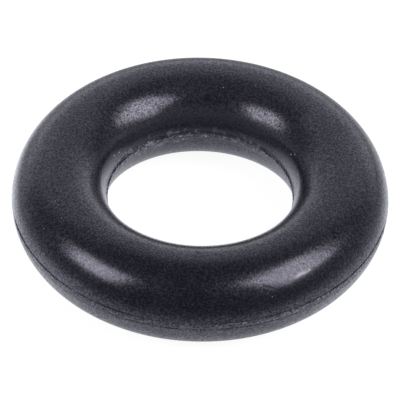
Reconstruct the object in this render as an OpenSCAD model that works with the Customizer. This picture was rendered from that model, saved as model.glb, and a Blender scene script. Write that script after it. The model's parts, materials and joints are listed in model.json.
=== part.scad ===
// Moulded rubber O-ring: one revolved solid, lying flat with its axis along Z.
//
// The origin is the ring's centre, on the parting plane of the mould (z = 0).
// The round section is pressed between two mould halves that meet at z = 0, so a
// thin flash is left around the bore and around the outside. It is trimmed to a
// narrow cylindrical land, which runs into the section through a small root fillet
// where the edge of each mould cavity was rounded.

/* [Ring] */
// Inside diameter, across the bore of the round section without its flash
inside_d = 10.46; // [4:0.01:60]
// Diameter of the round section
section_d = 5.33; // [2:0.01:10]

/* [Flash] */
// Width of the trimmed flash land, along the ring's axis
land_w = 0.26; // [0.1:0.01:0.6]
// How far the land stands proud of the round section
land_h = 0.07; // [0.02:0.01:0.2]
// Radius of the root fillet between the land's flank and the round section
root_r = 0.05; // [0.01:0.01:0.2]

/* [Finish] */
// Colour of the rubber
rubber_colour = [0.13, 0.13, 0.14];

/* [Hidden] */

// Radius of the round section
section_r = section_d / 2;
// Radius of the circle on which the section's centre runs
centre_r = inside_d / 2 + section_r;
// Distance from the section's centre to the face of the land
land_x = section_r + land_h;
// The root fillet is never taller than the land that it leads to
fillet_r = min(root_r, land_h);
// The fillet bites this far into the round section, so that the two surfaces cross
// in a clean edge
fillet_bite = 0.0002;
// Centre of the fillet, measured from the section's centre: it touches the land's
// flank from above and the round section from outside
fillet_y = land_w / 2 + fillet_r;
fillet_x = sqrt(pow(section_r + fillet_r - fillet_bite, 2) - pow(fillet_y, 2));
// Smoothness of the section and of the ring
section_facets = 120;
ring_facets = 240;

// Rubber that fills the corner above the land: the triangle between the section's
// centre, the land and the fillet's centre, less the fillet itself
module root_web() {
    difference() {
        polygon([[0, 0], [fillet_x, 0], [fillet_x, fillet_y]]);
        translate([fillet_x, fillet_y])
            circle(r = fillet_r, $fn = section_facets);
    }
}

// Flash land on the +X side of the section, with a root fillet above and below it
module flash_land() {
    translate([0, -land_w / 2])
        square([land_x, land_w]);
    root_web();
    mirror([0, 1])
        root_web();
}

// Full moulded section about its own centre: the round cord, with one flash land on
// the outside (+X) and one in the bore (-X)
module moulded_section() {
    circle(d = section_d, $fn = section_facets);
    flash_land();
    mirror([1, 0])
        flash_land();
}

// The ring: the moulded section turned once around the Z axis
module o_ring() {
    color(rubber_colour)
        rotate_extrude($fn = ring_facets)
            translate([centre_r, 0])
                moulded_section();
}

o_ring();
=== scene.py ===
"""A moulded rubber O-ring lying flat in a plain studio, laid out as a Blender add-on."""

import json
import math
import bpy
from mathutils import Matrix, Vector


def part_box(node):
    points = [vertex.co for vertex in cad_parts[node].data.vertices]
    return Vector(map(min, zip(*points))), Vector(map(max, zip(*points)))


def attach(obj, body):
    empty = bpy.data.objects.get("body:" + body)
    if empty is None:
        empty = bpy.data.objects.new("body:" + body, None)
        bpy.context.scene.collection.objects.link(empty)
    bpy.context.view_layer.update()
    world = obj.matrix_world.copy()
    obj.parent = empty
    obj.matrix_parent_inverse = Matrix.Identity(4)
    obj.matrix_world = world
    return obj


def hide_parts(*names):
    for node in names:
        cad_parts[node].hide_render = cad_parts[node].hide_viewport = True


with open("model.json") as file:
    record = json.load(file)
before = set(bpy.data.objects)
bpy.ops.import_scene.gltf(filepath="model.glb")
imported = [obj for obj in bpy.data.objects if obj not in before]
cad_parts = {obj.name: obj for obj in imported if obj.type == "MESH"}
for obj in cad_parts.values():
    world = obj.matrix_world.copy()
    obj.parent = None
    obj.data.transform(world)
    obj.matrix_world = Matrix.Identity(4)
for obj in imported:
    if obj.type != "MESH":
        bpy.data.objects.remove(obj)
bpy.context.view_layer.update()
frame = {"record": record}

from types import SimpleNamespace

import bpy
from mathutils import Matrix, Vector

bl_info = {
    "name": "Moulded O-ring",
    "version": (1, 0, 0),
    "blender": (4, 5, 0),
    "location": "3D View > Sidebar > O-ring",
    "description": "Rubber O-ring with its flash land, grain, crumbs and dust, and a plain studio",
    "category": "Add Mesh",
}

# ----------------------------------------------------------------------------
# Sizes that come from the frame, in metres
# ----------------------------------------------------------------------------

MM = 0.001
RING_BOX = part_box("o_ring")
MOUNTS = {mount["name"]: mount["dims"] for mount in frame["record"]["mounts"]}
RIM_RADIUS = RING_BOX[1].x
BORE_RADIUS = MOUNTS["bore"]["r_mm"] * MM
SECTION_RADIUS = RING_BOX[1].z
CENTRE_RADIUS = (RIM_RADIUS + BORE_RADIUS) / 2
LAND_HEIGHT = (RIM_RADIUS - BORE_RADIUS) / 2 - SECTION_RADIUS
LAND_WIDTH = MOUNTS["rim"]["length_mm"] * MM
FLOOR_HEIGHT = RING_BOX[0].z

# The section's points crowd towards both lands by this much (0 is even, 0.5 is the most)
CROWDING = 0.45
# Points closer than this are one point
WELD = 0.001 * MM

# The land was trimmed closer at the front and the sides of the rim, and at the front and back
# of the bore: it runs out between these sines or cosines of the ring angle, down to this share
# of what is left of it. At the back of the bore it runs further on the left.
RIM_FRONT = (0.87, 0.965)
RIM_SIDE = (0.965, 0.990)
BORE_BACK = (0.76, 0.90)
BORE_SKEW = 0.15
FLUSH_SHARE = 0.12

# Noise along the land, read on a circle of radius 1: the scale, detail and roughness of what the
# trimming tore and of how the land wanders, how far it is moved up for the rim and down for the
# bore, and how far one seed shifts it
TORN_NOISE = (34.0, 4.0, 0.65)
TORN_RANGE = (0.42, 0.62)
WANDER_NOISE = (9.0, 3.0, 0.5)
WANDER_START = (3.1, 1.7, 0.0)
LAND_NOISE_LIFT = 0.7
SEED_STEP = 0.37
# The land wanders within this share of its half width
LAND_WANDER = 0.5

# The skin's waves: the scale, detail and roughness of their noise, the radius of the circle that
# it is read on, and how far it is moved up for the rim and down for the bore
WAVE_NOISE = (2.4, 2.0, 0.5)
WAVE_RADIUS = 3.0
WAVE_LIFT = 2.0

# Crumbs that the mould and the trimming left: ring angle, section angle in degrees (0 is the
# outside, 90 the top, 180 the bore), and length in mm
BORE_CRUMBS = (
    (103.0, 178.8, 0.17),
    (87.4, 180.4, 0.17),
    (101.2, 184.4, 0.12),
    (117.6, 185.6, 0.16),
    (93.2, 210.4, 0.15),
    (148.0, 180.0, 0.18),
    (135.2, 180.8, 0.16),
    (127.0, 182.0, 0.15),
    (124.8, 174.4, 0.13),
    (149.2, 161.6, 0.14),
    (154.4, 158.8, 0.15),
    (24.8, 150.8, 0.13),
    (22.0, 146.0, 0.11),
    (8.2, 153.2, 0.14),
    (32.6, 180.8, 0.14),
    (48.0, 195.2, 0.13),
)
TOP_DUST = (
    (-67.8, 33.6, 0.06),
    (-66.4, 28.4, 0.06),
    (-157.8, 72.8, 0.09),
    (-155.4, 73.2, 0.07),
    (-149.2, 67.2, 0.09),
    (-151.2, 42.0, 0.08),
    (46.8, 58.8, 0.09),
    (40.6, 66.4, 0.08),
    (79.8, 115.2, 0.09),
    (65.6, 102.8, 0.07),
)
# Crumbs are flakes: the smallest one's share of the full length, and a flake's thickness and
# width as shares of its own length
SMALLEST_CRUMB = 0.35
CRUMB_THICKNESS = 0.4
CRUMB_SLIMNESS = 0.55
SPECK_SLIMNESS = 0.7
# Scattered crumbs stay within this share of the land's width from the parting plane
CRUMB_BAND = 0.75
# A limit in metres that the whole ring is within
ANYWHERE = 1.0

# The nick, the scuff, whose pale colour is a painted highlight, and the places that were rubbed
# smooth: ring and section angle of the middle, lean from the ring's direction, in degrees, half
# length, half width and depth in mm, and how ragged the edge is
NICK = (-67.3, 41.4, -31.0, 0.46, 0.11, 0.4, 1.6)
SCUFF = (-54.6, 42.3, 2.0, 0.95, 0.19, 0.4, 1.2)
RUBBED = (
    (-58.0, 44.0, 0.0, 4.2, 1.9, 2.5, 0.5),
    (-125.0, 44.0, 0.0, 3.2, 1.5, 2.5, 0.5),
)
# Where a patch starts to fade and where it ends, as shares of its half length or half width
PATCH_EDGE = (0.10, 1.05)

# The moulded grain: each layer's scale against the fine grit's, the detail and roughness of its
# noise, and its share in the height
GRIT_DETAIL = (2.0, 0.6)
GRIT_SHARE = 0.8
TONE_SCALE = 0.45
TONE_DETAIL = (3.0, 0.6)
TONE_SHARE = 0.7
CLOUD_SCALE = 0.06
CLOUD_DETAIL = (2.0, 0.5)
DIMPLE_SCALE = 0.7
DIMPLE_SHARE = 0.45
# As a mask, the grit goes from 0 to 1 over this range of its noise
GRIT_RANGE = (0.38, 0.68)
# Over a range of the clouds' noise, the grain's depth goes from one factor to another
CLOUD_DEPTH = (0.34, 0.66, 0.55, 1.45)
# Pits: the scale of their cells, where a pit's edge lies in a cell, and the share without one
PIT_SCALE = 0.30
PIT_EDGE = (0.10, 0.20)
PIT_FREE = 0.55

# Noise in the marks on the rubber: scale (features in a metre), detail and roughness
PATCH_NOISE = (7000.0, 3.0, 0.5)
CUT_NOISE = (11000.0, 2.0, 0.7)
BURR_NOISE = (6500.0, 1.0, 0.5)
LEDGE_NOISE = (1700.0, 3.0, 0.6)
FRAY_NOISE = (2400.0, 4.0, 0.65)
CLING_NOISE = (3300.0, 3.0, 0.6)

# Depths of the marks in the shading of the rubber
CUT_DEPTH = 0.012 * MM
LEDGE_DEPTH = 0.035 * MM
FRAYED_DEPTH = 0.12 * MM
STEEP_DEPTH = 0.16 * MM
NICK_DEPTH = 0.03 * MM

# Colours of the dust, the marks and the painted light on the rubber, and of the crumbs
# Painted light: the bore's back shoulder and the crest behind it are painted lighter, in place of
# a brighter reflection
PAINTED_BACK_LIGHT_COLOUR = (0.029, 0.030, 0.040, 1.0)
# Paler at the bore's front lip
LIP_COLOUR = (0.051, 0.048, 0.053, 1.0)
BURR_COLOUR = (0.16, 0.16, 0.175, 1.0)
CLING_COLOUR = (0.19, 0.19, 0.21, 1.0)
# Painted reflection: the bore's sides towards the front are painted pale, in place of a bright
# grazing reflection
PAINTED_REFLECTION_COLOUR = (0.30, 0.29, 0.33, 1.0)
NICK_COLOUR = (0.012, 0.008, 0.010, 1.0)
# Painted highlight: the scuff's pale colour is a glint painted along the highlight's lower edge
SCUFF_HIGHLIGHT_COLOUR = (0.33, 0.305, 0.325, 1.0)
CRUMB_COLOUR = (0.54, 0.55, 0.63)

# Gloss of the rubber, its oily film and the crumbs. The land takes its own roughness by a share,
# and the bore is less rough than the skin by its polish
RUBBER_IOR = 1.42
RUBBER_TINT = (0.73, 0.66, 1.0, 1.0)
FILM_IOR = 1.66
FILM_ROUGHNESS = 0.26
LAND_ROUGHNESS = 0.36
LAND_SHARE = 0.5
BORE_POLISH = 0.01
PIT_ROUGHNESS = 0.50
SCUFF_ROUGHNESS = 0.16
CRUMB_IOR = 1.5
CRUMB_ROUGHNESS = 0.6
SPECK_ROUGHNESS = 0.8

# The softboxes: name, azimuth and elevation of the direction to it, its roll, in degrees, and
# its width and height in metres at the softbox distance
SOFTBOX_DISTANCE = 1.5
RIGHT_SOFTBOX = ("softbox_right", -21.2, 45.7, 6.0, 0.975, 0.964)
LEFT_SOFTBOX = ("softbox_left", -158.5, 36.3, 3.5, 0.776, 0.656)

# The studio's white, and what it is in reflections
WHITE = (1.0, 1.0, 1.0, 1.0)
COOL_WHITE = (0.905, 0.920, 1.0, 1.0)
COOL_FLOOR = (0.885, 0.910, 1.0, 1.0)
# How bright the floor is for matt surfaces
MATT_FLOOR_LEVEL = 0.5

# Brighter places of the floor in reflections: x, y and radius in mm, and strength
FLOOR_GLINTS = (
    (-16.5, -8.5, 11.0, 0.58),
    (-12.0, 3.8, 6.5, 0.47),
    (13.0, -9.0, 10.0, 0.26),
    (12.0, 3.8, 6.5, 0.30),
    (0.0, 1.0, 9.0, 0.13),
    (17.0, 14.0, 10.0, 0.22),
    (-14.0, 11.0, 9.0, 0.24),
    (-55.0, 40.0, 50.0, 0.25),
)

# The camera: height above the ring's plane and roll in degrees, distance and the ring's
# centre in the 400 x 400 image
CAMERA_ELEVATION = 42.26
CAMERA_ROLL = 1.12
CAMERA_DISTANCE = 61.0 * CENTRE_RADIUS
IMAGE_SIZE = 400
PIXELS_PER_METRE = 140.78 / CENTRE_RADIUS
RING_CENTRE_PIXEL = (200.11, 197.88)
SENSOR_WIDTH = 36.0

# How nodes are laid out in the editor: nodes in a row, and the room for each
NODES_IN_ROW = 10
NODE_SPACE = (220, 300)


# ----------------------------------------------------------------------------
# Settings that a user would change
# ----------------------------------------------------------------------------

class RingSizes(bpy.types.PropertyGroup):
    """Sizes of the moulded ring."""

    section_radius: bpy.props.FloatProperty(
        name="Section Radius", description="Radius of the round section",
        default=SECTION_RADIUS, min=0.0001, unit="LENGTH", precision=5)
    centre_radius: bpy.props.FloatProperty(
        name="Centre Radius", description="Radius of the circle that the section's centre runs on",
        default=CENTRE_RADIUS, min=0.0001, unit="LENGTH", precision=5)
    land_width: bpy.props.FloatProperty(
        name="Land Width", description="Width of the trimmed flash land, along the ring's axis",
        default=LAND_WIDTH, min=0.0, unit="LENGTH", precision=5)
    land_height: bpy.props.FloatProperty(
        name="Land Height", description="How far the flash land stands proud of the section",
        default=LAND_HEIGHT, min=0.0, unit="LENGTH", precision=5)
    root_width: bpy.props.FloatProperty(
        name="Root Width", description="Width of the fillet at the root of the flash land",
        default=0.05 * MM, min=0.0, unit="LENGTH", precision=5)
    land_left: bpy.props.FloatProperty(
        name="Land Left", description="Share of the land's height that the trimming left",
        default=0.70, min=0.0, max=1.0, subtype="FACTOR")
    raggedness: bpy.props.FloatProperty(
        name="Raggedness", description="Share of the land's height that the trimming tore away",
        default=0.45, min=0.0, max=1.0, subtype="FACTOR")
    waviness: bpy.props.FloatProperty(
        name="Waviness", description="How far the rubber's surface strays from the round",
        default=0.003 * MM, min=0.0, unit="LENGTH", precision=6)
    ring_points: bpy.props.IntProperty(
        name="Ring Points", description="Number of steps around the ring", default=600, min=12)
    section_points: bpy.props.IntProperty(
        name="Section Points", description="Number of steps around the section", default=160,
        min=12)
    seed: bpy.props.IntProperty(
        name="Seed", description="Changes what is random in the ring's shape", default=3)


class CrumbSizes(bpy.types.PropertyGroup):
    """Sizes and numbers of the crumbs and the dust."""

    bore_density: bpy.props.FloatProperty(
        name="Bore Crumbs", description="Crumbs on each square millimetre of the bore's land",
        default=6.0, min=0.0)
    dust_density: bpy.props.FloatProperty(
        name="Dust", description="Dust specks on each square millimetre of rubber",
        default=0.10, min=0.0)
    crumb_length: bpy.props.FloatProperty(
        name="Crumb Length", description="Length of a crumb of flash in the bore",
        default=0.09 * MM, min=0.0, unit="LENGTH", precision=5)
    speck_length: bpy.props.FloatProperty(
        name="Speck Length", description="Length of a speck of dust",
        default=0.045 * MM, min=0.0, unit="LENGTH", precision=5)
    seed: bpy.props.IntProperty(
        name="Seed", description="Changes where the crumbs and the dust lie", default=11)


class RubberFinish(bpy.types.PropertyGroup):
    """Finish of the rubber."""

    colour: bpy.props.FloatVectorProperty(
        name="Rubber", description="Colour of the rubber", subtype="COLOR", size=3,
        default=(0.0041, 0.0046, 0.0100), min=0.0, max=1.0)
    worn_colour: bpy.props.FloatVectorProperty(
        name="Bloom", description="Colour where a thin bloom greys the rubber", subtype="COLOR",
        size=3, default=(0.0094, 0.0095, 0.0160), min=0.0, max=1.0)
    dust_colour: bpy.props.FloatVectorProperty(
        name="Dust", description="Colour of the dust", subtype="COLOR", size=3,
        default=(0.34, 0.34, 0.35), min=0.0, max=1.0)
    roughness: bpy.props.FloatProperty(
        name="Roughness", description="Roughness of the moulded skin", default=0.21, min=0.0,
        max=1.0, subtype="FACTOR")
    grain_size: bpy.props.FloatProperty(
        name="Grain Size", description="Size of the grain in the moulded skin",
        default=0.11 * MM, min=0.00001, unit="LENGTH", precision=5)
    grain_depth: bpy.props.FloatProperty(
        name="Grain Depth", description="Depth of the grain in the moulded skin",
        default=0.0062 * MM, min=0.0, unit="LENGTH", precision=6)


class StudioSettings(bpy.types.PropertyGroup):
    """Light and background of the studio."""

    right_light: bpy.props.FloatProperty(
        name="Right Softbox", description="Brightness of the right softbox, where 1 is white",
        default=4.8, min=0.0)
    left_light: bpy.props.FloatProperty(
        name="Left Softbox", description="Brightness of the left softbox, where 1 is white",
        default=5.25, min=0.0)
    backdrop: bpy.props.FloatProperty(
        name="Backdrop", description="Brightness of the white backdrop in reflections",
        default=0.87, min=0.0)
    overhead: bpy.props.FloatProperty(
        name="Overhead", description="Brightness of the room overhead in reflections",
        default=0.18, min=0.0)
    fill: bpy.props.FloatProperty(
        name="Fill", description="Brightness of the room for matt surfaces", default=0.25,
        min=0.0)
    floor_colour: bpy.props.FloatVectorProperty(
        name="Floor", description="Colour of the floor where the lights fall on it",
        subtype="COLOR", size=3, default=(0.20, 0.20, 0.20), min=0.0, max=1.0)
    floor_glow: bpy.props.FloatProperty(
        name="Floor White", description="White of the floor in the picture, without its light",
        default=0.93, min=0.0, max=1.0)


# ----------------------------------------------------------------------------
# Helpers
# ----------------------------------------------------------------------------

class Recipe:
    """Writes a node tree step by step: each call adds a node and joins what it is given."""

    def __init__(self, tree):
        self.tree = tree
        self.count = 0

    def put(self, kind, inputs=None, **settings):
        node = self.tree.nodes.new(kind)
        row, column = divmod(self.count, NODES_IN_ROW)
        node.location = (NODE_SPACE[0] * column, -NODE_SPACE[1] * row)
        self.count += 1
        for name, value in settings.items():
            setattr(node, name, value)
        for key, value in (inputs or {}).items():
            self.feed(value, node.inputs[key])
        return node

    def feed(self, value, socket):
        if isinstance(value, bpy.types.NodeSocket):
            self.tree.links.new(value, socket)
        else:
            socket.default_value = value

    def math(self, operation, *values, clamp=False):
        node = self.put("ShaderNodeMath", dict(enumerate(values)), operation=operation,
                        use_clamp=clamp)
        return node.outputs["Value"]

    def plus(self, value, other):
        return self.math("ADD", value, other)

    def minus(self, value, other):
        return self.math("SUBTRACT", value, other)

    def over(self, value, other):
        return self.math("DIVIDE", value, other)

    def most(self, value, other):
        return self.math("MAXIMUM", value, other)

    def size(self, value):
        return self.math("ABSOLUTE", value)

    def line(self, value, slope, start):
        """The slope times the value, plus the start."""
        return self.math("MULTIPLY_ADD", value, slope, start)

    def times(self, *values, clamp=False):
        """The product of two or more values; clamp keeps it between 0 and 1."""
        product = values[0]
        for value in values[1:-1]:
            product = self.math("MULTIPLY", product, value)
        return self.math("MULTIPLY", product, values[-1], clamp=clamp)

    def direction(self, angle):
        """The cosine and the sine of an angle."""
        return self.math("COSINE", angle), self.math("SINE", angle)

    def vector(self, operation, *values, output="Vector"):
        node = self.put("ShaderNodeVectorMath", dict(enumerate(values)), operation=operation)
        return node.outputs[output]

    def join_xyz(self, x, y, z):
        return self.put("ShaderNodeCombineXYZ", {"X": x, "Y": y, "Z": z}).outputs["Vector"]

    def split_xyz(self, vector):
        node = self.put("ShaderNodeSeparateXYZ", {"Vector": vector})
        return node.outputs["X"], node.outputs["Y"], node.outputs["Z"]

    def off_axis(self, x, y):
        """How far a point is from the ring's axis."""
        return self.vector("LENGTH", self.join_xyz(x, y, 0.0), output="Value")

    def step(self, value, start, end, low=0.0, high=1.0):
        """Goes smoothly from low at start to high at end; start is below end."""
        node = self.put("ShaderNodeMapRange", {
            "Value": value, "From Min": start, "From Max": end, "To Min": low, "To Max": high},
            interpolation_type="SMOOTHSTEP")
        return node.outputs["Result"]

    def fall(self, value, start, end, low=0.0):
        """Goes smoothly from 1 at start to low at end; start is below end."""
        return self.step(value, start, end, 1.0, low)

    def scale(self, value, start, end, low=0.0, high=1.0):
        """Goes evenly from low at start to high at end, and stays there."""
        node = self.put("ShaderNodeMapRange", {
            "Value": value, "From Min": start, "From Max": end, "To Min": low, "To Max": high})
        return node.outputs["Result"]

    def mix(self, factor, low, high):
        node = self.put("ShaderNodeMix", {"Factor": factor, "A": low, "B": high},
                        data_type="FLOAT")
        return node.outputs["Result"]

    def mix_colour(self, factor, low, high):
        node = self.put("ShaderNodeMix", data_type="RGBA")
        self.feed(factor, node.inputs["Factor"])
        self.feed(low, find_socket(node.inputs, "A_Color"))
        self.feed(high, find_socket(node.inputs, "B_Color"))
        return find_socket(node.outputs, "Result_Color")

    def noise(self, place, scale, detail, roughness):
        node = self.put("ShaderNodeTexNoise", {
            "Vector": place, "Scale": scale, "Detail": detail, "Roughness": roughness})
        return node.outputs["Fac"]

    def cells(self, place, scale):
        """The distance to the nearest cell's middle, and a random colour for each cell."""
        node = self.put("ShaderNodeTexVoronoi", {
            "Vector": place, "Scale": scale, "Randomness": 1.0})
        return node.outputs["Distance"], node.outputs["Color"]

    def bump(self, height, depth, normal=None):
        """Raises the surface by the depth where the height is 1, on top of another normal."""
        node = self.put("ShaderNodeBump", {"Strength": 1.0, "Distance": depth, "Height": height})
        if normal is not None:
            self.feed(normal, node.inputs["Normal"])
        return node.outputs["Normal"]


def find_socket(sockets, identifier):
    """The socket with this identifier, where several share a name."""
    for socket in sockets:
        if socket.identifier == identifier:
            return socket
    raise RuntimeError(f"no socket {identifier}")


def opaque(colour):
    """A colour property as the four numbers of a colour socket."""
    return (colour[0], colour[1], colour[2], 1.0)


def multiples(size, *numbers):
    """These numbers times a size."""
    return tuple(size * number for number in numbers)


def radii(sizes, start, end):
    """Two distances from the axis, given in section radii out from the section's centre."""
    return (sizes.centre_radius + start * sizes.section_radius,
            sizes.centre_radius + end * sizes.section_radius)


def new_group(name, kind, inputs, outputs):
    """A node group with named sockets, each given as its name and its type."""
    tree = bpy.data.node_groups.new(name, kind)
    for in_out, sockets in (("INPUT", inputs), ("OUTPUT", outputs)):
        for socket_name, socket_type in sockets.items():
            tree.interface.new_socket(socket_name, in_out=in_out,
                                      socket_type=f"NodeSocket{socket_type}")
    recipe = Recipe(tree)
    given = recipe.put("NodeGroupInput").outputs
    result = recipe.put("NodeGroupOutput").inputs
    return recipe, given, result


def new_material(name):
    """An empty node material and the socket that takes its shader."""
    material = bpy.data.materials.new(name)
    material.use_nodes = True
    material.node_tree.nodes.clear()
    recipe = Recipe(material.node_tree)
    surface = recipe.put("ShaderNodeOutputMaterial").inputs["Surface"]
    return material, recipe, surface


def add_group(recipe, tree, values):
    """Places a shader node group with its own values."""
    node = recipe.put("ShaderNodeGroup", node_tree=tree)
    for name, value in values.items():
        recipe.feed(value, node.inputs[name])
    return node.outputs


def new_piece(name, mesh):
    """An object at the origin that holds a mesh."""
    piece = bpy.data.objects.new(name, mesh)
    bpy.context.scene.collection.objects.link(piece)
    return piece


def grow(piece, tree, values):
    """Runs a Geometry Nodes tree on a piece and keeps the result as its plain mesh."""
    modifier = piece.modifiers.new("Recipe", "NODES")
    modifier.node_group = tree
    sockets = {item.name: item.identifier for item in tree.interface.items_tree
               if item.in_out == "INPUT"}
    for name, value in values.items():
        modifier[sockets[name]] = value
    graph = bpy.context.evaluated_depsgraph_get()
    mesh = bpy.data.meshes.new_from_object(piece.evaluated_get(graph))
    piece.modifiers.remove(modifier)
    mesh.name = piece.name
    piece.data = mesh
    if not mesh.polygons:
        raise RuntimeError(f"{piece.name} came out empty")


def on_section(ring_angle, section_angle, sizes):
    """The place on the round section at two angles in degrees, and the outward direction."""
    turn = math.radians(ring_angle)
    tilt = math.radians(section_angle)
    outward = Vector((math.cos(turn), math.sin(turn), 0.0))
    normal = outward * math.cos(tilt) + Vector((0.0, 0.0, math.sin(tilt)))
    return outward * sizes.centre_radius + normal * sizes.section_radius, normal


# ----------------------------------------------------------------------------
# Geometry Nodes
# ----------------------------------------------------------------------------

def land_profile(recipe, given, height, drift):
    """The land's part in the section: 1 across the land, and 0 past the fillets beside it."""
    half = recipe.times(given["Land Width"], 0.5)
    middle = recipe.times(half, recipe.times(recipe.minus(drift, 0.5), LAND_WANDER))
    reach = recipe.size(recipe.minus(height, middle))
    foot = recipe.plus(half, given["Root Width"])
    rise = recipe.scale(reach, half, foot, 1.0, 0.0)
    hollow = recipe.math("SQRT", recipe.minus(1.0, recipe.times(rise, rise)))
    return recipe.minus(1.0, hollow)


def land_remains(recipe, given, turn_x, turn_y, side, torn):
    """The share of the land's height that the trimming left, around the rim and the bore."""
    rim_front = recipe.fall(recipe.times(turn_y, -1.0), *RIM_FRONT, FLUSH_SHARE)
    rim_side = recipe.fall(recipe.size(turn_x), *RIM_SIDE, FLUSH_SHARE)
    rim_flush = recipe.math("MINIMUM", rim_front, rim_side)
    skewed = recipe.size(recipe.line(turn_x, BORE_SKEW, turn_y))
    bore_flush = recipe.fall(skewed, *BORE_BACK, FLUSH_SHARE)
    outer = recipe.line(side, 0.5, 0.5)
    return recipe.times(recipe.minus(1.0, torn), given["Land Left"],
                        recipe.mix(outer, bore_flush, rim_flush))


def flat_grid(recipe, given):
    """A grid of one unit each way, with a step for each ring point and section point."""
    grid = recipe.put("GeometryNodeMeshGrid", {
        "Size X": 1.0, "Size Y": 1.0,
        "Vertices X": recipe.plus(given["Ring Points"], 1.0),
        "Vertices Y": recipe.plus(given["Section Points"], 1.0)})
    mapped = recipe.put("GeometryNodeStoreNamedAttribute", {
        "Geometry": grid.outputs["Mesh"], "Name": "UVMap", "Value": grid.outputs["UV Map"]},
        data_type="FLOAT2", domain="CORNER")
    return mapped.outputs["Geometry"]


def skin_sink(recipe, given, turn_x, turn_y, tilt_z, side):
    """How far the moulded skin strays inwards from the round, as a negative length."""
    spot = recipe.join_xyz(recipe.times(turn_x, WAVE_RADIUS), recipe.times(turn_y, WAVE_RADIUS),
                           recipe.plus(tilt_z, recipe.times(side, WAVE_LIFT)))
    swell = recipe.noise(spot, *WAVE_NOISE)
    return recipe.times(swell, recipe.times(given["Waviness"], -1.0))


def finish_tree(recipe, given, result, geometry):
    """Ends a tree: its instances are made real and take the given material."""
    real = recipe.put("GeometryNodeRealizeInstances", {"Geometry": geometry})
    dressed = recipe.put("GeometryNodeSetMaterial", {
        "Geometry": real.outputs["Geometry"], "Material": given["Material"]})
    recipe.feed(dressed.outputs["Geometry"], result["Geometry"])


def ring_tree():
    """The moulded ring: a grid that is rolled up around the section and around the axis."""
    recipe, given, result = new_group("Moulded ring", "GeometryNodeTree", {
        "Section Radius": "Float",
        "Centre Radius": "Float",
        "Land Width": "Float",
        "Land Height": "Float",
        "Root Width": "Float",
        "Land Left": "Float",
        "Raggedness": "Float",
        "Waviness": "Float",
        "Ring Points": "Int",
        "Section Points": "Int",
        "Seed": "Int",
        "Material": "Material",
    }, {"Geometry": "Geometry"})

    # Ring angle, and a section angle that starts at the bottom and crowds at both lands
    across, along, _ = recipe.split_xyz(recipe.put("GeometryNodeInputPosition").outputs[0])
    turn = recipe.times(recipe.plus(across, 0.5), math.tau)
    even = recipe.line(along, math.tau, math.pi / 2)
    crowd = recipe.math("SINE", recipe.times(even, 2.0))
    turn_x, turn_y = recipe.direction(turn)
    tilt_x, tilt_z = recipe.direction(recipe.line(crowd, -CROWDING, even))

    # Noise is read where the smooth ring runs, so that it closes without a seam
    side = recipe.math("SIGN", tilt_x)
    shift = recipe.times(given["Seed"], SEED_STEP)
    around = recipe.join_xyz(turn_x, turn_y, recipe.line(side, LAND_NOISE_LIFT, shift))
    torn = recipe.step(recipe.noise(around, *TORN_NOISE), *TORN_RANGE, 0.0, given["Raggedness"])
    drift = recipe.noise(recipe.vector("ADD", around, WANDER_START), *WANDER_NOISE)

    # Flash land: a narrow cylinder proud of the round, with a fillet above and below it
    round_x = recipe.times(tilt_x, given["Section Radius"])
    height = recipe.times(tilt_z, given["Section Radius"])
    remains = land_remains(recipe, given, turn_x, turn_y, side, torn)
    proud = recipe.times(given["Land Height"], remains)
    land_x = recipe.times(side, recipe.plus(given["Section Radius"], proud))
    section_x = recipe.mix(land_profile(recipe, given, height, drift), round_x, land_x)

    # The section, sunk by its skin's waves, is turned around the axis
    sink = skin_sink(recipe, given, turn_x, turn_y, tilt_z, side)
    shell_x = recipe.line(tilt_x, sink, section_x)
    shell_z = recipe.line(tilt_z, sink, height)
    radius = recipe.plus(given["Centre Radius"], shell_x)
    place = recipe.join_xyz(recipe.times(turn_x, radius), recipe.times(turn_y, radius), shell_z)

    rolled = recipe.put("GeometryNodeSetPosition", {
        "Geometry": flat_grid(recipe, given), "Position": place})
    closed = recipe.put("GeometryNodeMergeByDistance", {
        "Geometry": rolled.outputs["Geometry"], "Distance": WELD})
    smooth = recipe.put("GeometryNodeSetShadeSmooth", {"Geometry": closed.outputs["Geometry"]})
    finish_tree(recipe, given, result, smooth.outputs["Geometry"])
    return recipe.tree


def scattered_points(recipe, given):
    """Points on the carrier within the band, each with the way it faces and its length."""
    place = recipe.put("GeometryNodeInputPosition").outputs[0]
    x, y, z = recipe.split_xyz(place)
    low = recipe.put("FunctionNodeCompare", {
        "A": recipe.size(z), "B": given["Band Height"]},
        data_type="FLOAT", operation="LESS_THAN").outputs["Result"]
    inner = recipe.put("FunctionNodeCompare", {
        "A": recipe.off_axis(x, y), "B": given["Band Radius"]},
        data_type="FLOAT", operation="LESS_THAN").outputs["Result"]
    band = recipe.put("FunctionNodeBooleanMath", {0: low, 1: inner},
                      operation="AND").outputs["Boolean"]
    carrier = recipe.put("GeometryNodeObjectInfo", {"Object": given["Carrier"]})
    scatter = recipe.put("GeometryNodeDistributePointsOnFaces", {
        "Mesh": carrier.outputs["Geometry"], "Selection": band,
        "Density": given["Density"], "Seed": given["Seed"]})
    facing = recipe.put("GeometryNodeStoreNamedAttribute", {
        "Geometry": scatter.outputs["Points"], "Name": "facing",
        "Value": scatter.outputs["Normal"]}, data_type="FLOAT_VECTOR", domain="POINT")
    chance = recipe.put("FunctionNodeRandomValue", {
        "Min": SMALLEST_CRUMB, "Max": 1.0, "Seed": given["Seed"]}, data_type="FLOAT")
    sized = recipe.put("GeometryNodeStoreNamedAttribute", {
        "Geometry": facing.outputs["Geometry"], "Name": "length",
        "Value": recipe.times(chance.outputs["Value"], given["Length"])},
        data_type="FLOAT", domain="POINT")
    return sized.outputs["Geometry"]


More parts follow.
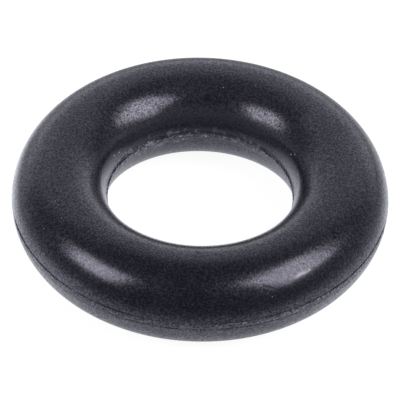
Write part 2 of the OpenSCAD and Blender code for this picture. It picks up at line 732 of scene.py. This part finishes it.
def crumb_tree():
    """Crumbs: flakes on the listed points, and more of them scattered over the ring."""
    recipe, given, result = new_group("Scattered crumbs", "GeometryNodeTree", {
        "Geometry": "Geometry",
        "Carrier": "Object",
        "Density": "Float",
        "Length": "Float",
        "Slimness": "Float",
        "Band Height": "Float",
        "Band Radius": "Float",
        "Seed": "Int",
        "Material": "Material",
    }, {"Geometry": "Geometry"})
    points = recipe.put("GeometryNodeJoinGeometry")
    recipe.feed(scattered_points(recipe, given), points.inputs["Geometry"])
    recipe.feed(given["Geometry"], points.inputs["Geometry"])

    # A flake lies on its face, turned any way
    normal = recipe.put("GeometryNodeInputNamedAttribute", {"Name": "facing"},
                        data_type="FLOAT_VECTOR").outputs["Attribute"]
    length = recipe.put("GeometryNodeInputNamedAttribute", {"Name": "length"},
                        data_type="FLOAT").outputs["Attribute"]
    upright = recipe.put("FunctionNodeAlignRotationToVector", {"Vector": normal},
                         axis="Z").outputs["Rotation"]
    spin = recipe.put("FunctionNodeRandomValue", {
        "Min": 0.0, "Max": math.tau, "Seed": given["Seed"]}, data_type="FLOAT")
    twist = recipe.put("FunctionNodeAxisAngleToRotation", {
        "Axis": (0.0, 0.0, 1.0), "Angle": spin.outputs["Value"]}).outputs["Rotation"]
    lie = recipe.put("FunctionNodeRotateRotation", {
        "Rotation": upright, "Rotate By": twist}, rotation_space="LOCAL").outputs["Rotation"]
    flake = recipe.put("GeometryNodeMeshIcoSphere", {"Radius": 0.5, "Subdivisions": 1})
    size = recipe.join_xyz(length, recipe.times(length, given["Slimness"]),
                           recipe.times(length, CRUMB_THICKNESS))
    strewn = recipe.put("GeometryNodeInstanceOnPoints", {
        "Points": points.outputs["Geometry"], "Instance": flake.outputs["Mesh"],
        "Rotation": lie, "Scale": size})
    finish_tree(recipe, given, result, strewn.outputs["Instances"])
    return recipe.tree


# ----------------------------------------------------------------------------
# Materials: a ramp is given by where it starts and ends, and then by its levels there
# ----------------------------------------------------------------------------

def grain_group():
    """Moulded grain: its height, its layers of fine grit, tone and cloud, and sparse pits."""
    recipe, given, result = new_group("Moulded grain", "ShaderNodeTree", {
        "Vector": "Vector",
        "Grain Size": "Float",
    }, {
        "Height": "Float",
        "Grit": "Float",
        "Tone": "Float",
        "Cloud": "Float",
        "Pits": "Float",
    })
    place = given["Vector"]
    fine = recipe.over(1.0, given["Grain Size"])
    grit = recipe.noise(place, fine, *GRIT_DETAIL)
    tone = recipe.noise(place, recipe.times(fine, TONE_SCALE), *TONE_DETAIL)
    cloud = recipe.noise(place, recipe.times(fine, CLOUD_SCALE), *CLOUD_DETAIL)
    dimple, _ = recipe.cells(place, recipe.times(fine, DIMPLE_SCALE))
    height = recipe.line(dimple, DIMPLE_SHARE, recipe.times(grit, GRIT_SHARE))
    height = recipe.line(tone, TONE_SHARE, height)

    # A few deeper pits, each in a cell of its own
    distance, colour = recipe.cells(place, recipe.times(fine, PIT_SCALE))
    chance, _, _ = recipe.split_xyz(colour)
    pits = recipe.times(recipe.fall(distance, *PIT_EDGE),
                        recipe.math("GREATER_THAN", chance, PIT_FREE))
    recipe.feed(recipe.times(height, recipe.step(cloud, *CLOUD_DEPTH)), result["Height"])
    recipe.feed(recipe.step(grit, *GRIT_RANGE), result["Grit"])
    recipe.feed(tone, result["Tone"])
    recipe.feed(cloud, result["Cloud"])
    recipe.feed(pits, result["Pits"])
    return recipe.tree


def patch_mask(recipe, spot, sizes, patch):
    """A mask of an oblong patch with a ragged edge, at its place on the ring."""
    ring_angle, section_angle, lean, half_length, half_width, depth, ragged = patch
    middle, normal = on_section(ring_angle, section_angle, sizes)
    turn = math.radians(ring_angle)
    level = Vector((-math.sin(turn), math.cos(turn), 0.0))
    along = Matrix.Rotation(math.radians(lean), 3, normal) @ level
    across = normal.cross(along)
    axes = Matrix((along, across, normal)).transposed()
    centred = recipe.put("ShaderNodeMapping", {
        "Vector": spot.place, "Location": middle, "Rotation": axes.to_euler(),
        "Scale": multiples(MM, half_length, half_width, depth)},
        vector_type="TEXTURE").outputs["Vector"]
    uneven = recipe.minus(recipe.noise(spot.place, *PATCH_NOISE), 0.5)
    reach = recipe.line(uneven, ragged, recipe.vector("LENGTH", centred, output="Value"))
    return recipe.fall(reach, *PATCH_EDGE)


def rubber_spot(recipe, sizes):
    """Where a point of the rubber lies, and what that says of its place on the ring."""
    place = recipe.put("ShaderNodeTexCoord").outputs["Object"]
    x, y, height = recipe.split_xyz(place)
    away = recipe.off_axis(x, y)
    return SimpleNamespace(
        place=place, x=x, y=y, height=height, away=away,
        reach=recipe.size(height),
        sideways=recipe.size(recipe.over(x, away)),
        inside=recipe.math("LESS_THAN", away, sizes.centre_radius),
        outside=recipe.math("GREATER_THAN", away, sizes.centre_radius))


def land_masks(recipe, spot, sizes):
    """The trimmed land, the torn surface of the cut, and the pale burrs along it."""
    edge = multiples(sizes.land_width, 0.40, 0.62)
    burred = (0.50, 0.68)
    fewer_at_left = (-4.0 * MM, 3.0 * MM, 0.35, 1.0)
    land = recipe.fall(spot.reach, *edge)
    cut = recipe.times(land, recipe.noise(spot.place, *CUT_NOISE))
    burrs = recipe.step(recipe.noise(spot.place, *BURR_NOISE), *burred)
    burr = recipe.times(land, burrs, recipe.scale(spot.x, *fewer_at_left))
    return land, cut, burr


def rim_ledge(recipe, spot, sizes):
    """At the rim, the lower half of the mould stood a little proud of the upper one."""
    broken = (0.36, 0.58, 0.15, 1.0)
    top = multiples(sizes.land_width, -1.16, -0.92)
    tail = multiples(sizes.land_width, -2.6, -1.2)
    ledge = recipe.times(recipe.fall(spot.height, *top), recipe.step(spot.height, *tail))
    unbroken = recipe.step(recipe.noise(spot.place, *LEDGE_NOISE), *broken)
    return recipe.times(unbroken, ledge, spot.outside)


def frayed_step(recipe, spot, sizes):
    """In the bore's corners, a wide frayed step above and below the land, and its brim."""
    edge = multiples(sizes.land_width, 0.5, 1.45)
    spread = sizes.land_width * 0.9
    least = 0.2
    brim_peak = 3.2
    fray = recipe.minus(recipe.noise(spot.place, *FRAY_NOISE), 0.5)
    reach = recipe.line(fray, spread, spot.reach)
    behind = recipe.size(recipe.over(recipe.line(spot.x, BORE_SKEW, spot.y), spot.away))
    frayed = recipe.times(recipe.fall(reach, *edge), recipe.fall(behind, *BORE_BACK, least),
                          spot.inside)
    brim = recipe.times(frayed, brim_peak, recipe.minus(1.0, frayed))
    return frayed, brim


def clinging_rubber(recipe, spot):
    """Rubber torn off the land clings to the bore beside it, mostly at the left and back."""
    bits = (0.54, 0.64)
    near_land = (0.15 * MM, 0.80 * MM)
    left = (-3.5 * MM, 0.0, 1.0, 0.5)
    back = (-3.0 * MM, 1.0 * MM, 0.35, 1.0)
    return recipe.times(
        recipe.step(recipe.noise(spot.place, *CLING_NOISE), *bits),
        recipe.fall(spot.reach, *near_land),
        recipe.scale(spot.x, *left),
        recipe.scale(spot.y, *back),
        spot.inside)


def steep_bore(recipe, spot):
    """The bore's upper half looks steeper than the round at its sides, and a little behind."""
    at_sides = (0.72, 0.96)
    side_height = (0.25 * MM, 1.30 * MM)
    at_back = (0.3, 0.7)
    back_height = (0.9 * MM, 2.5 * MM, 0.0, 0.33)
    sides = recipe.times(recipe.scale(spot.height, *side_height),
                         recipe.step(spot.sideways, *at_sides))
    back = recipe.times(recipe.scale(spot.height, *back_height),
                        recipe.step(recipe.over(spot.y, spot.away), *at_back))
    return recipe.times(recipe.most(sides, back), spot.inside)


def painted_back_light(recipe, spot, sizes, speckle):
    """Painted light at the back, in place of a brighter reflection: on the bore's shoulder, and
    fainter on the crest.
    """
    shoulder_middle = sizes.section_radius * 0.46
    shoulder_band = multiples(sizes.section_radius, 0.06, 0.28)
    crest_height = (*multiples(sizes.section_radius, 0.72, 0.93), 0.0, 0.4)
    crest_back = (3.0 * MM, 7.0 * MM)
    crest_edge = radii(sizes, 0.05, 0.30)
    back = (0.0, 4.0 * MM)
    from_shoulder = recipe.size(recipe.minus(spot.height, shoulder_middle))
    shoulder = recipe.times(recipe.fall(from_shoulder, *shoulder_band), spot.inside)
    crest = recipe.times(recipe.step(spot.height, *crest_height),
                         recipe.scale(spot.y, *crest_back),
                         recipe.fall(spot.away, *crest_edge))
    return recipe.times(recipe.most(shoulder, crest), speckle, recipe.scale(spot.y, *back))


def paler_lip(recipe, spot, sizes, speckle):
    """Paler in front, where the crest turns down into the bore."""
    skew = 0.25
    front = (0.0, -5.0 * MM)
    lip_edge = radii(sizes, -0.50, -0.14)
    lip_height = (0.0, sizes.section_radius * 0.6)
    return recipe.times(
        recipe.fall(spot.away, *lip_edge),
        recipe.step(spot.height, *lip_height),
        recipe.scale(recipe.line(spot.x, skew, spot.y), *front),
        speckle)


def painted_side_reflection(recipe, spot, sizes, skin):
    """Painted reflection: towards the front, the sides of the bore are painted pale."""
    at_sides = (0.84, 0.97)
    front = (1.2 * MM, -1.2 * MM)
    wall_edge = radii(sizes, -0.95, -0.80)
    mottle = 0.8
    least = 0.35
    return recipe.times(
        recipe.step(spot.sideways, *at_sides),
        recipe.scale(spot.y, *front),
        recipe.fall(spot.away, *wall_edge),
        recipe.line(skin["Grit"], mottle, least), clamp=True)


def dry_bore(recipe, spot):
    """Above the parting line at the bore's back, the film is thin."""
    foot = (0.08 * MM, 0.30 * MM)
    head = (1.0 * MM, 1.8 * MM)
    back = (2.5 * MM, 5.0 * MM, 0.0, 0.7)
    return recipe.times(recipe.step(spot.height, *foot), recipe.fall(spot.height, *head),
                        recipe.scale(spot.y, *back), spot.inside)


def rubber_masks(recipe, spot, skin, sizes):
    """Everything that marks the rubber or lies on it, and the painted light on it, each as a mask.
    """
    mottle = 0.9
    least = 0.55
    bore_edge = radii(sizes, -1.0, -0.55)
    speckle = recipe.line(skin["Grit"], mottle, least)
    land, cut, burr = land_masks(recipe, spot, sizes)
    frayed, brim = frayed_step(recipe, spot, sizes)
    rubbed = (patch_mask(recipe, spot, sizes, patch) for patch in RUBBED)

    # The bore's skin is a little smoother than the rest, and its film more even
    bore = recipe.fall(spot.away, *bore_edge)
    return SimpleNamespace(
        land=land, cut=cut, burr=burr, frayed=frayed, brim=brim, bore=bore,
        nick=patch_mask(recipe, spot, sizes, NICK),
        scuff=patch_mask(recipe, spot, sizes, SCUFF),
        rubbed=recipe.most(*rubbed),
        ledge=rim_ledge(recipe, spot, sizes),
        cling=clinging_rubber(recipe, spot),
        steep=steep_bore(recipe, spot),
        back_light=painted_back_light(recipe, spot, sizes, speckle),
        lip=paler_lip(recipe, spot, sizes, speckle),
        pale=painted_side_reflection(recipe, spot, sizes, skin),
        dry=dry_bore(recipe, spot))


def rubber_colour(recipe, skin, finish, masks):
    """Black rubber greyed by a thin bloom in clouds, with the colours of its marks and dust, and
    painted reflections at the back and on the bore's sides and a painted highlight on the scuff.
    """
    cloudy = (0.40, 0.66)
    toned = (0.42, 0.62)
    cloud_share = 0.4
    grit_share = 0.6
    bloom = recipe.times(recipe.step(skin["Cloud"], *cloudy), recipe.step(skin["Tone"], *toned))
    bloom = recipe.line(bloom, cloud_share, recipe.times(skin["Grit"], grit_share))
    colour = recipe.mix_colour(recipe.most(bloom, masks.cut), opaque(finish.colour),
                               opaque(finish.worn_colour))
    # Layers of marks and dust, and painted light: the back light and the pale sides are painted
    # reflections, and the scuff's layer is a painted highlight
    for mask, layer in (
            (masks.back_light, PAINTED_BACK_LIGHT_COLOUR),
            (masks.lip, LIP_COLOUR),
            (masks.burr, BURR_COLOUR),
            (masks.cling, CLING_COLOUR),
            (masks.pale, PAINTED_REFLECTION_COLOUR),
            (masks.nick, NICK_COLOUR),
            (recipe.times(masks.scuff, masks.scuff), SCUFF_HIGHLIGHT_COLOUR)):
        colour = recipe.mix_colour(mask, colour, layer)
    return colour


def rubber_roughness(recipe, skin, finish, masks):
    """The skin's roughness wavers with its tone. The cut land, the nick and pits are rougher."""
    tones = (0.3, 0.7)
    waver = 0.06
    roughness = recipe.scale(skin["Tone"], *tones, finish.roughness - waver,
                             finish.roughness + waver)
    for mask, level in (
            (recipe.times(masks.land, LAND_SHARE), LAND_ROUGHNESS),
            (masks.bore, finish.roughness - BORE_POLISH),
            (recipe.most(masks.nick, skin["Pits"]), PIT_ROUGHNESS),
            (masks.scuff, SCUFF_ROUGHNESS)):
        roughness = recipe.mix(mask, roughness, level)
    return roughness


def rubber_relief(recipe, spot, skin, sizes, finish, masks):
    """The normal: the grain, the torn land, the mould's steps, and the nick and the pits."""
    # The grain is coarser along the rim's parting line, and flatter where it was rubbed
    line_edge = multiples(sizes.land_width, 1.0, 4.0)
    line_tone = 2.2
    line_grain = 0.8
    rubbed_off = 0.4
    pit_share = 0.5
    plain = recipe.most(masks.bore, recipe.step(spot.reach, *line_edge))
    coarse = recipe.times(skin["Tone"], recipe.line(plain, -line_tone, line_tone))
    coarse = recipe.line(skin["Height"], recipe.line(plain, -line_grain, 1.0 + line_grain), coarse)
    coarse = recipe.times(coarse, recipe.line(masks.rubbed, -rubbed_off, 1.0))
    sunk = recipe.most(masks.nick, recipe.times(skin["Pits"], pit_share))
    normal = recipe.bump(coarse, finish.grain_depth)
    for height, depth in (
            (masks.cut, CUT_DEPTH),
            (masks.ledge, LEDGE_DEPTH),
            (masks.frayed, FRAYED_DEPTH),
            (masks.steep, STEEP_DEPTH),
            (recipe.minus(1.0, sunk), NICK_DEPTH)):
        normal = recipe.bump(height, depth, normal)
    return normal


def oily_film(recipe, skin, masks):
    """The oily film on the high spots of the grain, which leaves pits and marks dull."""
    on_grit = (0.0, 0.9, 0.08, 1.0)
    on_tone = (0.35, 0.65, 0.80, 1.17)
    on_cloud = (0.35, 0.65, 0.90, 1.10)
    dulling = 0.7
    even_share = 0.5
    even_film = 0.5
    dull = recipe.most(recipe.most(masks.nick, skin["Pits"]), masks.brim)
    film = recipe.times(
        recipe.scale(skin["Grit"], *on_grit),
        recipe.line(dull, -dulling, 1.0),
        recipe.scale(skin["Tone"], *on_tone),
        recipe.scale(skin["Cloud"], *on_cloud), clamp=True)
    even = recipe.times(recipe.most(masks.rubbed, masks.bore), even_share)
    film = recipe.mix(even, film, even_film)
    return recipe.times(film, recipe.minus(1.0, masks.dry))


def rubber_material(grain, finish, sizes):
    """Black moulded rubber: satin grain, a rougher trimmed land, bloom, dust and a nick, with
    painted reflections and a painted highlight in its colour.
    """
    material, recipe, surface = new_material("Black moulded rubber")
    spot = rubber_spot(recipe, sizes)
    skin = add_group(recipe, grain, {"Vector": spot.place, "Grain Size": finish.grain_size})
    masks = rubber_masks(recipe, spot, skin, sizes)
    shader = recipe.put("ShaderNodeBsdfPrincipled", {
        "Base Color": rubber_colour(recipe, skin, finish, masks),
        "Roughness": rubber_roughness(recipe, skin, finish, masks),
        "IOR": RUBBER_IOR,
        "Specular Tint": RUBBER_TINT,
        "Normal": rubber_relief(recipe, spot, skin, sizes, finish, masks),
        "Coat Weight": oily_film(recipe, skin, masks),
        "Coat Roughness": FILM_ROUGHNESS,
        "Coat IOR": FILM_IOR})
    recipe.feed(shader.outputs["BSDF"], surface)
    return material


def crumb_material(name, grain, finish, colour, roughness):
    """Crumbs and dust: matt, with the rubber's grain at a smaller size."""
    grain_share = 0.4
    dark_share = 0.6
    material, recipe, surface = new_material(name)
    place = recipe.put("ShaderNodeTexCoord").outputs["Object"]
    skin = add_group(recipe, grain, {
        "Vector": place, "Grain Size": finish.grain_size * grain_share})
    dark = multiples(dark_share, *colour)
    shader = recipe.put("ShaderNodeBsdfPrincipled", {
        "Base Color": recipe.mix_colour(skin["Tone"], opaque(dark), opaque(colour)),
        "Roughness": roughness,
        "IOR": CRUMB_IOR,
        "Normal": recipe.bump(skin["Height"], finish.grain_depth)})
    recipe.feed(shader.outputs["BSDF"], surface)
    return material


def ray_kinds(recipe):
    """Whether a ray comes from the camera, and whether it comes off gloss or through glass."""
    path = recipe.put("ShaderNodeLightPath").outputs
    return path["Is Camera Ray"], recipe.most(path["Is Glossy Ray"], path["Is Transmission Ray"])


def floor_white(recipe, x, y):
    """The floor's white in gloss, painted: a pool of light around the ring, which runs out towards
    the front, with painted shadow close under and straight behind the ring, more light at the
    left, and painted glints.
    """
    front = (10.0 * MM, 34.0 * MM, 0.10)
    pool = (12.0 * MM, 26.0 * MM, 0.68, 0.275)
    shadow_under_ring = (0.8 * MM, 3.2 * MM, 0.58, 1.0)
    left_to_right = (-20.0 * MM, 16.0 * MM, 1.15, 1.02)
    shadow_behind_ring = (4.0 * MM, 16.0 * MM, 0.74, 1.0)
    back = (8.0 * MM, 14.0 * MM)
    glint_middle = 2.0 * MM
    away = recipe.off_axis(x, y)
    from_centre = recipe.size(recipe.minus(away, CENTRE_RADIUS))
    # Painted light and shade: the glow dims towards the front, close under the ring and straight
    # behind it, and is brighter at the left
    white = recipe.times(
        recipe.fall(recipe.times(y, -1.0), *front),
        recipe.step(away, *pool),
        recipe.step(from_centre, *shadow_under_ring),
        recipe.scale(x, *left_to_right),
        recipe.most(recipe.step(recipe.size(x), *shadow_behind_ring), recipe.fall(y, *back)))
    for glint_x, glint_y, radius, strength in FLOOR_GLINTS:
        away = recipe.vector("DISTANCE", recipe.join_xyz(x, y, 0.0),
                             (glint_x * MM, glint_y * MM, 0.0), output="Value")
        white = recipe.plus(white, recipe.step(away, glint_middle, radius * MM, strength, 0.0))
    return white


def floor_material(studio):
    """White floor: it takes a faint shadow, reads as white in the picture, and in gloss glows
    white with painted pools of light and painted shadow.
    """
    material, recipe, surface = new_material("White floor")
    camera, gloss = ray_kinds(recipe)
    x, y, _ = recipe.split_xyz(recipe.put("ShaderNodeTexCoord").outputs["Object"])
    level = recipe.mix(gloss, MATT_FLOOR_LEVEL, floor_white(recipe, x, y))
    level = recipe.mix(camera, level, studio.floor_glow)
    glow = recipe.put("ShaderNodeEmission", {
        "Color": recipe.mix_colour(gloss, WHITE, COOL_FLOOR), "Strength": level})
    matt = recipe.put("ShaderNodeBsdfDiffuse", {"Color": opaque(studio.floor_colour)})
    both = recipe.put("ShaderNodeAddShader", {
        0: matt.outputs["BSDF"], 1: glow.outputs["Emission"]})
    recipe.feed(both.outputs["Shader"], surface)
    material.cycles.emission_sampling = "NONE"
    return material


def build_world(studio):
    """White to the camera; in gloss a white sheet behind the ring under a dim room."""
    sheet_skew = -0.02
    sheet_side = (0.42, 0.86)
    sheet_top = (0.68, 0.96)
    sheet_rise = (0.05, 0.40)
    sheet_foot, sheet_head = multiples(studio.backdrop, 1.22, 0.90)
    room_front_to_back = (-0.9, 0.1, 0.16, 0.33)
    room_rise = (0.0, 0.7)
    tiny = 0.0001
    world = bpy.data.worlds.new("Plain studio")
    world.use_nodes = True
    world.node_tree.nodes.clear()
    recipe = Recipe(world.node_tree)
    surface = recipe.put("ShaderNodeOutputWorld").inputs["Surface"]
    camera, gloss = ray_kinds(recipe)
    x, y, z = recipe.split_xyz(recipe.put("ShaderNodeTexCoord").outputs["Generated"])
    flat = recipe.math("SQRT", recipe.plus(recipe.times(x, x), recipe.times(y, y)))
    behind = recipe.over(recipe.line(x, sheet_skew, y), recipe.most(flat, tiny))
    sheet = recipe.times(recipe.step(behind, *sheet_side), recipe.fall(z, *sheet_top))
    white = recipe.step(z, *sheet_rise, sheet_foot, sheet_head)
    room = recipe.mix(recipe.scale(z, *room_rise), recipe.scale(y, *room_front_to_back),
                      studio.overhead)
    level = recipe.mix(gloss, studio.fill, recipe.mix(sheet, room, white))
    level = recipe.mix(camera, level, 1.0)
    glow = recipe.put("ShaderNodeBackground", {
        "Color": recipe.mix_colour(camera, COOL_WHITE, WHITE), "Strength": level})
    recipe.feed(glow.outputs["Background"], surface)
    world.cycles.sampling_method = "NONE"
    return world


# ----------------------------------------------------------------------------
# Stage
# ----------------------------------------------------------------------------

def build_floor(studio):
    """A round white table top under the ring."""
    steps = 64
    radius = 0.25
    corners = [(radius * math.cos(math.tau * i / steps), radius * math.sin(math.tau * i / steps),
                FLOOR_HEIGHT) for i in range(steps)]
    mesh = bpy.data.meshes.new("floor")
    mesh.from_pydata(corners, [], [list(range(steps))])
    mesh.materials.append(floor_material(studio))
    return new_piece("floor", mesh)


def add_softbox(softbox, brightness):
    """A softbox that faces the ring."""
    name, azimuth, elevation, roll, width, height = softbox
    turn = math.radians(azimuth)
    tilt = math.radians(elevation)
    heading = Vector((math.cos(tilt) * math.cos(turn), math.cos(tilt) * math.sin(turn),
                      math.sin(tilt)))
    lamp = bpy.data.lights.new(name, "AREA")
    lamp.shape = "RECTANGLE"
    lamp.size = width
    lamp.size_y = height
    lamp.energy = brightness * math.pi * width * height
    light = bpy.data.objects.new(name, lamp)
    bpy.context.scene.collection.objects.link(light)
    light.location = heading * SOFTBOX_DISTANCE
    facing = heading.to_track_quat("Z", "Y").to_matrix()
    light.rotation_euler = (facing @ Matrix.Rotation(math.radians(roll), 3, "Z")).to_euler()
    light.visible_camera = False


def build_camera():
    """The camera, fitted to the ring's outline in a 400 x 400 image."""
    tilt = math.radians(CAMERA_ELEVATION)
    roll = math.radians(CAMERA_ROLL)
    back = Vector((0.0, -math.cos(tilt), math.sin(tilt)))
    level = Vector((1.0, 0.0, 0.0))
    upright = back.cross(level)
    right = level * math.cos(roll) + upright * math.sin(roll)
    up = upright * math.cos(roll) - level * math.sin(roll)
    off_x = (IMAGE_SIZE / 2 - RING_CENTRE_PIXEL[0]) / PIXELS_PER_METRE
    off_y = (RING_CENTRE_PIXEL[1] - IMAGE_SIZE / 2) / PIXELS_PER_METRE
    data = bpy.data.cameras.new("Camera")
    data.sensor_width = SENSOR_WIDTH
    data.lens = PIXELS_PER_METRE * CAMERA_DISTANCE * SENSOR_WIDTH / IMAGE_SIZE
    data.clip_start = 0.01
    data.clip_end = 10.0
    camera = bpy.data.objects.new("Camera", data)
    bpy.context.scene.collection.objects.link(camera)
    turn = Matrix((right, up, back)).transposed().to_4x4()
    camera.matrix_world = (
        Matrix.Translation(back * CAMERA_DISTANCE + right * off_x + up * off_y) @ turn)
    bpy.context.scene.camera = camera


# ----------------------------------------------------------------------------
# Operators
# ----------------------------------------------------------------------------

class ORING_OT_stage(bpy.types.Operator):
    """Set up the floor, the softboxes, the world and the camera"""

    bl_idname = "o_ring.stage"
    bl_label = "Stage"

    def execute(self, context):
        studio = context.scene.o_ring_studio
        build_camera()
        build_floor(studio)
        add_softbox(RIGHT_SOFTBOX, studio.right_light)
        add_softbox(LEFT_SOFTBOX, studio.left_light)
        context.scene.world = build_world(studio)
        context.scene.view_settings.view_transform = "Standard"
        return {"FINISHED"}


class ORING_OT_ring(bpy.types.Operator):
    """Mould the rubber ring with its two flash lands"""

    bl_idname = "o_ring.ring"
    bl_label = "Moulded Ring"

    def execute(self, context):
        sizes = context.scene.o_ring_sizes
        finish = context.scene.o_ring_finish
        grain = bpy.data.node_groups.get("Moulded grain") or grain_group()
        ring = new_piece("moulded_ring", bpy.data.meshes.new("moulded_ring"))
        grow(ring, ring_tree(), {
            "Section Radius": sizes.section_radius,
            "Centre Radius": sizes.centre_radius,
            "Land Width": sizes.land_width,
            "Land Height": sizes.land_height,
            "Root Width": sizes.root_width,
            "Land Left": sizes.land_left,
            "Raggedness": sizes.raggedness,
            "Waviness": sizes.waviness,
            "Ring Points": sizes.ring_points,
            "Section Points": sizes.section_points,
            "Seed": sizes.seed,
            "Material": rubber_material(grain, finish, sizes),
        })
        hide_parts("o_ring")
        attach(ring, "root")
        return {"FINISHED"}


def strew(name, spots, sizes, values):
    """Grows a piece of crumbs from listed spots and the scattered ones."""
    carrier = values["Carrier"]
    places = []
    facings = []
    lengths = []
    for ring_angle, section_angle, length in spots:
        place, normal = on_section(ring_angle, section_angle, sizes)
        hit, landed, _, _ = carrier.ray_cast(place + normal * MM, -normal)
        if not hit:
            raise RuntimeError(f"a crumb of {name} at {ring_angle} misses the ring")
        places.append(landed)
        facings.extend(normal)
        lengths.append(length * MM)
    mesh = bpy.data.meshes.new(name)
    mesh.from_pydata(places, [], [])
    mesh.attributes.new("facing", "FLOAT_VECTOR", "POINT").data.foreach_set("vector", facings)
    mesh.attributes.new("length", "FLOAT", "POINT").data.foreach_set("value", lengths)
    piece = new_piece(name, mesh)
    grow(piece, bpy.data.node_groups.get("Scattered crumbs") or crumb_tree(), values)
    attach(piece, "root")


class ORING_OT_crumbs(bpy.types.Operator):
    """Strew crumbs of flash along the bore's land, and dust over the ring"""

    bl_idname = "o_ring.crumbs"
    bl_label = "Crumbs and Dust"

    def execute(self, context):
        sizes = context.scene.o_ring_sizes
        crumbs = context.scene.o_ring_crumbs
        finish = context.scene.o_ring_finish
        carrier = bpy.data.objects["moulded_ring"]
        grain = bpy.data.node_groups.get("Moulded grain") or grain_group()
        strew("bore_dust", BORE_CRUMBS, sizes, {
            "Carrier": carrier,
            "Density": crumbs.bore_density / MM ** 2,
            "Length": crumbs.crumb_length,
            "Slimness": CRUMB_SLIMNESS,
            "Band Height": sizes.land_width * CRUMB_BAND,
            "Band Radius": sizes.centre_radius,
            "Seed": crumbs.seed,
            "Material": crumb_material("Bore dust", grain, finish, CRUMB_COLOUR,
                                       CRUMB_ROUGHNESS),
        })
        strew("dust_specks", TOP_DUST, sizes, {
            "Carrier": carrier,
            "Density": crumbs.dust_density / MM ** 2,
            "Length": crumbs.speck_length,
            "Slimness": SPECK_SLIMNESS,
            "Band Height": ANYWHERE,
            "Band Radius": ANYWHERE,
            "Seed": crumbs.seed + 1,
            "Material": crumb_material("Pale dust", grain, finish, finish.dust_colour,
                                       SPECK_ROUGHNESS),
        })
        return {"FINISHED"}


class ORING_PT_panel(bpy.types.Panel):
    """Lists the pieces of the O-ring and its settings"""

    bl_label = "O-ring"
    bl_idname = "ORING_PT_panel"
    bl_space_type = "VIEW_3D"
    bl_region_type = "UI"
    bl_category = "O-ring"

    def draw(self, context):
        layout = self.layout
        for settings in ("o_ring_sizes", "o_ring_crumbs", "o_ring_finish", "o_ring_studio"):
            box = layout.box()
            group = getattr(context.scene, settings)
            for name in group.__annotations__:
                box.prop(group, name)
        for operator in OPERATORS:
            layout.operator(operator.bl_idname)


OPERATORS = (ORING_OT_stage, ORING_OT_ring, ORING_OT_crumbs)
SETTINGS = (
    ("o_ring_sizes", RingSizes),
    ("o_ring_crumbs", CrumbSizes),
    ("o_ring_finish", RubberFinish),
    ("o_ring_studio", StudioSettings),
)


def register():
    for name, group in SETTINGS:
        bpy.utils.register_class(group)
        setattr(bpy.types.Scene, name, bpy.props.PointerProperty(type=group))
    for operator in OPERATORS:
        bpy.utils.register_class(operator)
    bpy.utils.register_class(ORING_PT_panel)


def unregister():
    bpy.utils.unregister_class(ORING_PT_panel)
    for operator in reversed(OPERATORS):
        bpy.utils.unregister_class(operator)
    for name, group in reversed(SETTINGS):
        delattr(bpy.types.Scene, name)
        bpy.utils.unregister_class(group)


def main():
    register()
    bpy.ops.o_ring.stage()
    bpy.ops.o_ring.ring()
    bpy.ops.o_ring.crumbs()


if __name__ == "__main__":
    main()
